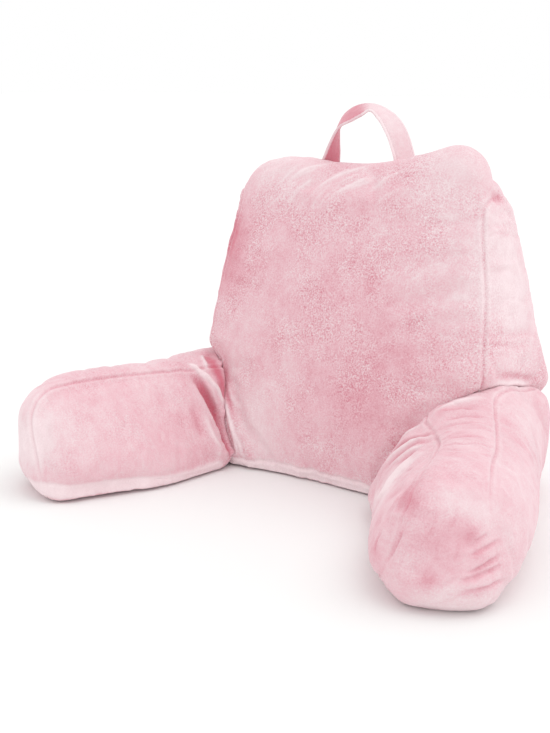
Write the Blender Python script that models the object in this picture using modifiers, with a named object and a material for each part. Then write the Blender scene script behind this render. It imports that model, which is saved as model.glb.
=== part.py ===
"""Reading pillow with arms: a wedge backrest, two bolster arms and a carrying strap.

Units are metres and +Z is up. The pillow faces -Y, its origin is the centre of its
footprint, and +X is the side of the right arm as seen from in front. Shapes are worked out
from the middle of the backrest's front foot, and moved to the origin when they are made.
Every filled piece is a closed loft: side outlines carried across the width make the long
skin, and two domed end panels close it at the seams. The arms and the strap are then
trimmed to the backrest, with a hair of clearance, so that they sit snugly on its rounded
faces.
"""

import math

import bmesh
import bpy
from mathutils import Vector

# ---------------------------------------------------------------- driving dimensions
GAP = 0.0003                # clearance between sewn neighbours
CUTTER_DEPTH = 0.020        # the backrest's cutter runs this far below the floor
CENTRE = Vector((0.010, -0.017, 0.0))   # of the footprint, from the middle of the front foot
FULLNESS = 0.55             # how squarely a domed end panel swells: lower is squarer

# Backrest: the side outline at its end panels, and how the front is bowed.
FOOT_DEPTH = 0.242          # front foot to rear foot
SEAM_TOP = 0.412            # height of the end panels' top edge
TOP_LEAN = 0.078            # how far the front has leaned back at that height
TOP_DEPTH = 0.078           # front to rear at that height
BACK_BELLY = 0.012          # how far the rear edge of an end panel bows out
FOOT_RISE = 0.006           # the front foot seam lifts a little between the arms
FOOT_ROLL = 0.035           # within this distance of the seam
FOOT_LIFT = 0.010           # the ends of the foot stand this far off the floor
FOOT_PRESS = 0.002          # the middle is pressed flat by this much
FRONT_CORNER = 0.008        # radius along the front foot
REAR_CORNER = 0.012         # radius along the rear foot
TOP_CORNER = 0.012          # radius of the end panels' top corners
TOP_ROUND = 0.020           # added to it over the filled width
TOP_SPREAD = 0.010          # and the top is this much deeper there
CROWN_LEAN = 0.3            # share of the front bulge that carries the top forward
REAR_BULGE = 0.4            # share of the front bulge that the rear takes
SHOULDER = 0.170            # height, at the front, of the crease above the arms' tails
SHOULDER_FALL = 0.200       # and how much it falls for each metre to the rear
SHOULDER_TILT = 0.010       # the crease is this much higher at the right end
WAIST = 0.205               # half width below the crease, between the tails
TUCK_ABOVE = 0.014          # the width starts to draw in this far above the crease
TUCK_BELOW = 0.020          # and is fully drawn in this far below it
SKEW = 0.012                # the filling has slumped a little towards +X
SLUMP = 0.022               # and the far side has settled back
GUSSET_BULGE = 0.010        # dome of the end panels

# Half width of the backrest at each height, above the crease.
WIDTH_ROWS = (
    # height, half width
    (0.00, 0.256),
    (0.17, 0.239),
    (0.30, 0.224),
    (0.412, 0.205),
)

# The crown of the long skin, by place along the width (-1 to 1): how far the top stands
# above the end panels' top edge, how far it falls to the rear, how far the front bulges,
# and how far the foot bows back.
CROWN_ROWS = (
    # across, top rise, rear drop, front bulge, foot bow
    (-1.00, 0.000, 0.000, 0.000, 0.000),
    (-0.94, 0.028, 0.026, 0.006, 0.001),
    (-0.80, 0.050, 0.036, 0.016, 0.005),
    (-0.60, 0.056, 0.030, 0.024, 0.010),
    (0.00, 0.050, 0.020, 0.030, 0.017),
    (0.40, 0.064, 0.028, 0.028, 0.012),
    (0.74, 0.090, 0.060, 0.022, 0.006),
    (0.94, 0.068, 0.074, 0.010, 0.001),
    (1.00, 0.000, 0.000, 0.000, 0.000),
)

# Soft folds of the front panel, each a line seen from in front; relief is outward.
FRONT_FOLDS = (
    # start across, start height, end across, end height, half width, relief
    (-0.192, 0.150, -0.124, 0.015, 0.012, 0.006),
    (-0.168, 0.150, -0.105, 0.040, 0.016, -0.004),
    (0.205, 0.165, 0.140, 0.040, 0.016, 0.005),
    (-0.160, 0.350, -0.020, 0.440, 0.018, -0.004),
    (-0.115, 0.335, 0.020, 0.425, 0.018, 0.003),
    (0.030, 0.400, 0.090, 0.450, 0.016, -0.004),
    (0.130, 0.400, 0.210, 0.395, 0.016, -0.004),
    (-0.215, 0.230, -0.150, 0.300, 0.018, 0.003),
)

# Arms: the middle line in plan, from the tail beside the backrest to the round front end.
ARM_PATH = (
    # outward, forward
    (0.196, -0.226),
    (0.200, -0.120),
    (0.216, -0.035),
    (0.254, 0.050),
    (0.296, 0.140),
    (0.340, 0.256),
)
ARM_ROWS = (
    # share of the length; aside: upper inner seam, lower inner seam, upper outer seam,
    # lower outer seam; height of the upper inner seam and of the upper outer seam;
    # bulge of the inner panel and of the outer panel
    (0.00, -0.030, -0.050, 0.058, 0.054, 0.104, 0.104, 0.000, 0.008),
    (0.12, -0.030, -0.060, 0.062, 0.074, 0.124, 0.136, 0.000, 0.018),
    (0.28, -0.030, -0.075, 0.056, 0.088, 0.140, 0.160, 0.000, 0.030),
    (0.43, -0.030, -0.090, 0.048, 0.088, 0.148, 0.166, 0.004, 0.038),
    (0.56, -0.026, -0.098, 0.046, 0.078, 0.148, 0.154, 0.014, 0.040),
    (0.75, -0.024, -0.098, 0.046, 0.070, 0.151, 0.148, 0.028, 0.037),
    (1.00, -0.036, -0.080, 0.042, 0.060, 0.150, 0.143, 0.034, 0.027),
)
ARM_FOOT = 0.024            # height of the lower seams
ARM_LEVEL = 0.130           # upper seams above the lower ones, before the table lifts them
ARM_SLANT = 0.034           # the outer panel ends this much short of the inner one at the top
TOE_ROUND = 0.014           # both panels end this much short of the middle at the foot
TOE_CORNER = 0.031          # corner radius there
ARM_CROWN = 0.012           # bulge of the boxing strip
ARM_UNDER = 0.030           # and of its run underneath, before the floor flattens it
ARM_NOSE = 0.046            # corner radius of the side panels at the front end
ARM_REAR_LEAN = 0.032       # the tail's rear edge leans forward with the backrest
TAIL_FOOT = 0.018           # corner radius at the tail's foot
TAIL_TOP = 0.030            # and at its top
# Soft folds across an arm's boxing strip; relief is outward.
ARM_FOLDS = (
    # start along, start aside, end along, end aside, half width, relief
    (0.225, -0.040, 0.262, 0.040, 0.010, -0.005),
    (0.262, -0.040, 0.292, 0.036, 0.010, -0.004),
    (0.300, -0.034, 0.322, 0.010, 0.010, -0.003),
    (0.243, -0.036, 0.276, 0.040, 0.008, 0.003),
)
# Folds of the inner panels, where the arms meet the backrest; relief is outward.
LEFT_FOLDS = (
    # start along, start height, end along, end height, half width, relief
    (0.196, 0.010, 0.229, 0.125, 0.011, -0.010),
    (0.226, 0.030, 0.250, 0.130, 0.014, 0.004),
)
RIGHT_FOLDS = (
    # start along, start height, end along, end height, half width, relief
    (0.205, 0.090, 0.262, 0.135, 0.012, -0.004),
    (0.205, 0.110, 0.235, 0.140, 0.012, -0.004),
)
ARM_SIDES = (
    # name, side, swing outward in degrees, change of length, how much the outer panel
    # ends short of the inner one at the foot, lower inner seam drawn out at the front
    # end, inner side filled out at the root, inner and outer upper seams lifted near the
    # root, folds of the inner panel
    ("arm_left", -1, -3.0, -0.008, 0.024, 0.000, 0.000, 0.000, -0.014, LEFT_FOLDS),
    ("arm_right", 1, 1.0, 0.008, 0.008, 0.007, 0.024, -0.008, 0.002, RIGHT_FOLDS),
)
ROOT_REACH = (0.20, 0.50)   # the lift at the root fades out between these distances
ROOT_PLACE = 0.44           # share of the length where the root is fullest
ROOT_SPREAD = 0.13          # and how far that fullness spreads either way

# Strap handle.
STRAP_WIDTH = 0.036
STRAP_THICKNESS = 0.003
STRAP_Y = 0.140             # behind the front foot
STRAP_STEPS = 24            # steps along it
STRAP_COLUMNS = 3           # steps across it
STRAP_ROWS = (
    # place along the strap; near edge: across, height; far edge: across, height
    (0.00, -0.074, 0.438, -0.056, 0.436),
    (0.15, -0.060, 0.466, -0.056, 0.466),
    (0.30, -0.048, 0.488, -0.058, 0.490),
    (0.40, -0.036, 0.503, -0.056, 0.508),
    (0.50, -0.018, 0.511, -0.044, 0.524),
    (0.60, 0.001, 0.520, -0.022, 0.534),
    (0.68, 0.015, 0.527, 0.001, 0.535),
    (0.76, 0.027, 0.518, 0.026, 0.531),
    (0.84, 0.037, 0.504, 0.046, 0.518),
    (0.92, 0.048, 0.482, 0.062, 0.492),
    (1.00, 0.062, 0.440, 0.078, 0.440),
)

# Mesh density.
ACROSS = 26                 # steps across the backrest
ARM_ACROSS = 14             # steps across an arm
BACKREST_LONG_STEPS = 20    # steps up the front and rear of the backrest
BACKREST_SHORT_STEPS = 6    # steps along its foot and its top
ARM_LONG_STEPS = 26         # steps along the top and foot of an arm
ARM_SHORT_STEPS = 4         # steps up its two ends
CORNER_STEPS = 4            # steps round each corner; an even number


# ---------------------------------------------------------------- small helpers
def clear_scene():
    """Remove every object already in the file."""
    for item in list(bpy.data.objects):
        bpy.data.objects.remove(item, do_unlink=True)


def new_collection(name):
    """Return a collection linked to the scene."""
    group = bpy.data.collections.new(name)
    bpy.context.scene.collection.children.link(group)
    return group


def cloth_material(name, colour, roughness):
    """Return a Principled material for a plush cloth."""
    material = bpy.data.materials.new(name)
    material.use_nodes = True
    shader = material.node_tree.nodes["Principled BSDF"]
    shader.inputs["Base Color"].default_value = (*colour, 1.0)
    shader.inputs["Roughness"].default_value = roughness
    shader.inputs["Metallic"].default_value = 0.0
    return material


def smooth_step(low, high, value):
    """Return 0 below low and 1 above high, with a smooth run between."""
    t = min(max((value - low) / (high - low), 0.0), 1.0)
    return t * t * (3.0 - 2.0 * t)


def read_table(rows, column, key):
    """Read a column of a table at a key, on a smooth curve through its rows."""
    if key <= rows[0][0]:
        return rows[0][column]
    if key >= rows[-1][0]:
        return rows[-1][column]
    low = max(i for i in range(len(rows) - 1) if rows[i][0] <= key)
    before = rows[max(low - 1, 0)]
    after = rows[min(low + 2, len(rows) - 1)]
    start, end = rows[low], rows[low + 1]
    span = end[0] - start[0]
    t = (key - start[0]) / span
    slope_in = (end[column] - before[column]) / (end[0] - before[0]) * span
    slope_out = (after[column] - start[column]) / (after[0] - start[0]) * span
    return (
        (2 * t**3 - 3 * t**2 + 1) * start[column]
        + (t**3 - 2 * t**2 + t) * slope_in
        + (3 * t**2 - 2 * t**3) * end[column]
        + (t**3 - t**2) * slope_out
    )


def fold_relief(rows, across, along):
    """Height of the soft folds of a table at one place, each row a line with a width."""
    relief = 0.0
    place = Vector((across, along))
    for start_x, start_y, end_x, end_y, width, height in rows:
        start = Vector((start_x, start_y))
        run = Vector((end_x, end_y)) - start
        share = min(max((place - start).dot(run) / run.length_squared, 0.0), 1.0)
        distance = (place - start - run * share).length
        fade = 0.4 + 0.6 * math.sin(math.pi * min(max(share, 0.1), 0.9))
        relief += height * fade * math.exp(-((distance / width) ** 2))
    return relief


def spread(steps):
    """Places from -1 to 1, closer together near both ends."""
    return [math.sin(math.pi / 2 * (2 * i / steps - 1)) for i in range(steps + 1)]


def rounded_outline(corners, side_steps):
    """Points round a closed outline of four corners, each (along, height, radius)."""
    arcs = []
    for i, (x, z, radius) in enumerate(corners):
        here = Vector((x, z))
        back = (Vector(corners[i - 1][:2]) - here).normalized()
        ahead = (Vector(corners[(i + 1) % 4][:2]) - here).normalized()
        half = back.angle(ahead) / 2
        start = here + back * (radius / math.tan(half))
        end = here + ahead * (radius / math.tan(half))
        centre = here + (back + ahead).normalized() * (radius / math.sin(half))
        arc = []
        for k in range(CORNER_STEPS + 1):
            chord = start.lerp(end, k / CORNER_STEPS)
            arc.append(centre + (chord - centre).normalized() * radius)
        arcs.append(arc)
    points = []
    for i, arc in enumerate(arcs):
        following = arcs[(i + 1) % 4][0]
        steps = side_steps[i % 2]
        points.extend(arc)
        points.extend(arc[-1].lerp(following, k / steps) for k in range(1, steps))
    return points


def outward(points, i):
    """The outward direction of an outline that runs anticlockwise, at one point."""
    run = points[(i + 1) % len(points)] - points[i - 1]
    return Vector((run.y, -run.x)).normalized()


# ---------------------------------------------------------------- lofting
def panel_sides(loop, side_steps):
    """Split a loop into bottom, far, top and near sides, all read from the same corner."""
    counts = [CORNER_STEPS + side_steps[i % 2] for i in range(4)]
    start = CORNER_STEPS // 2
    turned = loop[start:] + loop[: start + 1]
    marks = [0, counts[0], counts[0] + counts[1], 2 * counts[0] + counts[1]]
    bottom = turned[: marks[1] + 1]
    far = turned[marks[1] : marks[2] + 1]
    top = turned[marks[2] : marks[3] + 1][::-1]
    near = turned[marks[3] :][::-1]
    return bottom, far, top, near


def panel_point(sides, i, j):
    """A point of the patch that fills four sides, by its steps along and up."""
    bottom, far, top, near = sides
    u = i / (len(bottom) - 1)
    v = j / (len(near) - 1)
    ruled = bottom[i] * (1 - v) + top[i] * v + near[j] * (1 - u) + far[j] * u
    corners = (
        bottom[0] * (1 - u) * (1 - v)
        + bottom[-1] * u * (1 - v)
        + top[0] * (1 - u) * v
        + top[-1] * u * v
    )
    return ruled - corners


def fill_panel(mesh, ring, loop, side_steps, place):
    """Close a ring of vertices with a domed panel; place gives a world position."""
    ring_sides = panel_sides(ring, side_steps)
    flat_sides = panel_sides(loop, side_steps)
    across = len(flat_sides[0]) - 1
    up = len(flat_sides[3]) - 1
    grid = {}
    for i in range(across + 1):
        grid[i, 0] = ring_sides[0][i]
        grid[i, up] = ring_sides[2][i]
    for j in range(up + 1):
        grid[0, j] = ring_sides[3][j]
        grid[across, j] = ring_sides[1][j]
    for i in range(1, across):
        for j in range(1, up):
            flat = panel_point(flat_sides, i, j)
            grid[i, j] = mesh.verts.new(place(flat, 2 * i / across - 1, 2 * j / up - 1))
    for i in range(across):
        for j in range(up):
            mesh.faces.new((grid[i, j], grid[i + 1, j], grid[i + 1, j + 1], grid[i, j + 1]))


def loft_object(name, loops, side_steps, skin, panels, material, group):
    """Make a closed object: a skin through flat loops, and a panel at each end."""
    mesh = bmesh.new()
    rings = [[mesh.verts.new(skin(p)) for p in loop] for loop in loops]
    for first, second in zip(rings, rings[1:]):
        for i in range(len(first)):
            j = (i + 1) % len(first)
            mesh.faces.new((first[i], first[j], second[j], second[i]))
    for end in (0, -1):
        fill_panel(mesh, rings[end], loops[end], side_steps, panels[end])
    bmesh.ops.recalc_face_normals(mesh, faces=mesh.faces)
    bmesh.ops.triangulate(mesh, faces=mesh.faces)
    bmesh.ops.translate(mesh, verts=mesh.verts, vec=-CENTRE)
    data = bpy.data.meshes.new(name)
    mesh.to_mesh(data)
    mesh.free()
    data.materials.append(material)
    data.shade_smooth()
    item = bpy.data.objects.new(name, data)
    group.objects.link(item)
    return item


# ---------------------------------------------------------------- backrest
def crease_height(across, back):
    """Height of the shoulder crease at a place across the backrest and a distance back."""
    return SHOULDER + SHOULDER_TILT * smooth_step(-1.0, 1.0, across) - SHOULDER_FALL * back


def half_width(across, back, height):
    """Half width of the backrest at a distance back, drawn in below the shoulder crease."""
    full = read_table(WIDTH_ROWS, 1, height)
    crease = crease_height(across, back)
    drawn = 1.0 - smooth_step(crease - TUCK_BELOW, crease + TUCK_ABOVE, height)
    return full + (WAIST - full) * drawn


def backrest_loop(across, side_steps):
    """One side outline of the backrest, at a place from -1 (left) to 1 (right)."""
    rise = read_table(CROWN_ROWS, 1, across)
    drop = read_table(CROWN_ROWS, 2, across)
    bulge = read_table(CROWN_ROWS, 3, across)
    bow = read_table(CROWN_ROWS, 4, across)
    settle = SLUMP * (1.0 - smooth_step(-1.0, 0.2, across))
    edge = 1.0 - abs(across) ** 6
    top = SEAM_TOP + rise
    lean = TOP_LEAN * top / SEAM_TOP - CROWN_LEAN * bulge
    radius = TOP_CORNER + TOP_ROUND * edge
    foot = FOOT_LIFT * (1 - edge) - FOOT_PRESS
    corners = (
        (bow, foot, FRONT_CORNER),
        (FOOT_DEPTH, foot, REAR_CORNER),
        (lean + TOP_DEPTH + TOP_SPREAD * edge, top - drop, radius),
        (lean, top, radius),
    )
    points = rounded_outline(corners, side_steps)
    loop = []
    for i, (y, z) in enumerate(points):
        share = min(max(z / top, 0.0), 1.0)
        facing = -outward(points, i).x
        belly = math.sin(math.pi * share ** 0.8) ** 0.8
        x = across * half_width(across, y, z) + SKEW * smooth_step(0.0, SHOULDER, z)
        if facing > 0:
            y -= (bulge * belly + fold_relief(FRONT_FOLDS, x, z)) * facing
        else:
            y -= (BACK_BELLY + REAR_BULGE * bulge) * belly * facing
        roll = 1.0 - smooth_step(bow, bow + FOOT_ROLL, y)
        z += FOOT_RISE * edge * roll * (1 - share) ** 8
        y += settle * min(1.0, 2.5 * share)
        loop.append(Vector((x, y, max(z, 0.0))))
    return loop


def gusset_place(side):
    """Return the function that places points of an end panel of the backrest."""
    def place(flat, u, v):
        fullness = ((1 - u * u) * (1 - v**4)) ** FULLNESS
        crease = crease_height(side, flat.y)
        swell = 0.2 + 0.8 * smooth_step(crease - TUCK_BELOW, crease + 2 * TUCK_ABOVE, flat.z)
        x = side * (half_width(side, flat.y, flat.z) + GUSSET_BULGE * fullness * swell)
        return Vector((x + SKEW * smooth_step(0.0, SHOULDER, flat.z), flat.y, flat.z))
    return place


def build_backrest(material, group):
    """The wedge backrest, filled, standing on its flat foot."""
    side_steps = (BACKREST_SHORT_STEPS, BACKREST_LONG_STEPS)
    loops = [backrest_loop(v, side_steps) for v in spread(ACROSS)]
    panels = {0: gusset_place(-1), -1: gusset_place(1)}
    return loft_object("backrest", loops, side_steps, lambda p: p, panels, material, group)


# ---------------------------------------------------------------- arms
def arm_path(stretch):
    """The arm's middle line in plan, keyed by the distance along it."""
    keyed = []
    run = 0.0
    for i, (out, forward) in enumerate(ARM_PATH):
        if i:
            run += math.dist(ARM_PATH[i - 1], ARM_PATH[i])
        keyed.append((run, out, forward))
    return keyed, run + stretch


def arm_place(path, length, side, swing, flat):
    """World position of a flat arm point: (along, aside, height)."""
    along, aside, height = flat
    step = 0.002
    base = min(max(along, step), path[-1][0])
    here = Vector((read_table(path, 1, base), read_table(path, 2, base)))
    before = Vector((read_table(path, 1, base - step), read_table(path, 2, base - step)))
    heading = (here - before).normalized()
    spot = here + heading * (along - base) + Vector((heading.y, -heading.x)) * aside
    root = Vector(ARM_PATH[2])
    bend = math.radians(swing) * smooth_step(0.15, 0.35, along)
    turned = Vector((spot.x - root.x, spot.y - root.y))
    out = turned.x * math.cos(bend) + turned.y * math.sin(bend) + root.x
    forward = turned.y * math.cos(bend) - turned.x * math.sin(bend) + root.y
    return Vector((side * out, -forward, max(height, 0.0)))


def root_share(share):
    """How much of the root's fullness an arm has at a share of its length."""
    return math.exp(-(((share - ROOT_PLACE) / ROOT_SPREAD) ** 2))


def arm_loop(length, slant, draw, fill, lifts, across, side_steps):
    """One flat side outline of an arm, from -1 (inner) to 1 (outer)."""
    outer = (across + 1) / 2
    front = length - ARM_SLANT * outer**1.5
    toe = length - slant * outer**1.5 - TOE_ROUND * across**2
    corners = (
        (0.0, 0.0, TAIL_FOOT),
        (toe, 0.0, TOE_CORNER),
        (front, ARM_LEVEL, ARM_NOSE),
        (ARM_REAR_LEAN, ARM_LEVEL, TAIL_TOP),
    )
    edge = 1.0 - abs(across) ** 4
    points = rounded_outline(corners, side_steps)
    loop = []
    for i, (along, level) in enumerate(points):
        normal = outward(points, i)
        up = level / ARM_LEVEL
        share = along / front
        row = [read_table(ARM_ROWS, column, share) for column in range(1, 7)]
        lower = row[1] + draw * smooth_step(ROOT_PLACE, 1.0, share)
        inner_aside = row[0] * up + lower * (1 - up)
        inner_aside -= fill * root_share(share) * (1 - 0.5 * up)
        outer_aside = row[2] * up + row[3] * (1 - up)
        aside = inner_aside * (1 - outer) + outer_aside * outer
        root = 1.0 - smooth_step(*ROOT_REACH, along)
        inner_top = row[4] + lifts[0] * root
        outer_top = row[5] + lifts[1] * root
        top = inner_top * (1 - outer) + outer_top * outer
        height = ARM_FOOT + (top - ARM_FOOT) * up
        down = max(-normal.y, 0.0)
        crown = ARM_CROWN * edge * (1 - down) + ARM_UNDER * (1 - across**4) * down
        crown += fold_relief(ARM_FOLDS, along, aside) * max(normal.y, 0.0)
        loop.append(Vector((along + normal.x * crown, aside, height + normal.y * crown)))
    return loop


def build_arm(row, material, group):
    """One bolster arm: inner and outer panels joined by a boxing strip."""
    name, side, swing, stretch, slant, draw, fill, *lifts, folds = row
    path, length = arm_path(stretch)
    side_steps = (ARM_LONG_STEPS, ARM_SHORT_STEPS)
    loops = [
        arm_loop(length, slant, draw, fill, lifts, v, side_steps)
        for v in spread(ARM_ACROSS)
    ]

    def skin(flat):
        return arm_place(path, length, side, swing, flat)

    def inner(flat, u, v):
        fullness = ((1 - u**4) * (1 - v * v)) ** FULLNESS
        bulge = read_table(ARM_ROWS, 7, flat.x / length)
        bulge += 0.5 * fill * root_share(flat.x / length)
        bulge = (bulge + fold_relief(folds, flat.x, flat.z)) * fullness
        return skin(Vector((flat.x, flat.y - bulge, flat.z)))

    def outer(flat, u, v):
        fullness = ((1 - u**6) * (1 - v * v)) ** FULLNESS
        bulge = read_table(ARM_ROWS, 8, flat.x / length) * fullness
        return skin(Vector((flat.x, flat.y + bulge, flat.z)))

    panels = {0: inner, -1: outer}
    return loft_object(name, loops, side_steps, skin, panels, material, group)


# ---------------------------------------------------------------- strap handle
def build_strap(material, group):
    """The carrying strap: a flat band in an arch over the top of the backrest."""
    mesh = bmesh.new()
    rows = []
    for i in range(STRAP_STEPS + 1):
        near_x, near_z, far_x, far_z = (
            read_table(STRAP_ROWS, column, i / STRAP_STEPS) for column in range(1, 5)
        )
        near = Vector((near_x, STRAP_Y - STRAP_WIDTH / 2, near_z))
        far = Vector((far_x, STRAP_Y + STRAP_WIDTH / 2, far_z))
        row = []
        for j in range(STRAP_COLUMNS + 1):
            row.append(mesh.verts.new(near.lerp(far, j / STRAP_COLUMNS)))
        rows.append(row)
    for first, second in zip(rows, rows[1:]):
        for j in range(STRAP_COLUMNS):
            mesh.faces.new((first[j], second[j], second[j + 1], first[j + 1]))
    bmesh.ops.translate(mesh, verts=mesh.verts, vec=-CENTRE)
    data = bpy.data.meshes.new("handle")
    mesh.to_mesh(data)
    mesh.free()
    data.materials.append(material)
    data.shade_smooth()
    item = bpy.data.objects.new("handle", data)
    group.objects.link(item)
    thick = item.modifiers.new("Thickness", "SOLIDIFY")
    thick.thickness = STRAP_THICKNESS
    thick.offset = 0.0
    return item


# ---------------------------------------------------------------- fitting together
def clearance_cutter(item, group):
    """A copy of a piece, swollen by the sewing clearance, to trim its neighbours with."""
    data = item.data.copy()
    cutter = bpy.data.objects.new(item.name + "_cutter", data)
    group.objects.link(cutter)
    shape = bmesh.new()
    shape.from_mesh(data)
    shape.normal_update()
    for vert in shape.verts:
        vert.co += vert.normal * GAP
    for vert in shape.verts:
        if vert.co.z < GAP:
            vert.co.z = -CUTTER_DEPTH
    shape.to_mesh(data)
    shape.free()
    cutter.hide_render = True
    cutter.display_type = "WIRE"
    return cutter


def trim(item, cutter):
    """Cut a piece back to its neighbour's swollen copy."""
    cut = item.modifiers.new("Trim", "BOOLEAN")
    cut.operation = "DIFFERENCE"
    cut.solver = "EXACT"
    cut.object = cutter


def main():
    """Build the pillow."""
    clear_scene()
    parts = new_collection("reading_pillow")
    cutters = new_collection("cutters")
    plush = cloth_material("pink plush", (0.80, 0.45, 0.51), 0.85)
    arm_plush = cloth_material("pink plush arm", (0.83, 0.52, 0.57), 0.85)
    strap_plush = cloth_material("pink plush strap", (0.75, 0.40, 0.46), 0.85)
    backrest = build_backrest(plush, parts)
    cutter = clearance_cutter(backrest, cutters)
    for row in ARM_SIDES:
        arm = build_arm(row, arm_plush, parts)
        trim(arm, cutter)
    strap = build_strap(strap_plush, parts)
    trim(strap, cutter)


main()
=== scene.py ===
"""The dressed reading pillow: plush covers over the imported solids, a sewn strap, and a studio.

Each filled piece starts as its CAD solid, is drawn in a little between its seams and filled
again by a cloth simulation with pressure. The wrinkles that the filling leaves are kept on
the solid's own shape, and then the seams, folds, gathers and pile are added.
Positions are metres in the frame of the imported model; the pillow faces -Y.
"""

import math
import random

import bmesh
import bpy
import numpy as np
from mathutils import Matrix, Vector, noise
from mathutils.bvhtree import BVHTree
from mathutils.kdtree import KDTree


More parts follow.
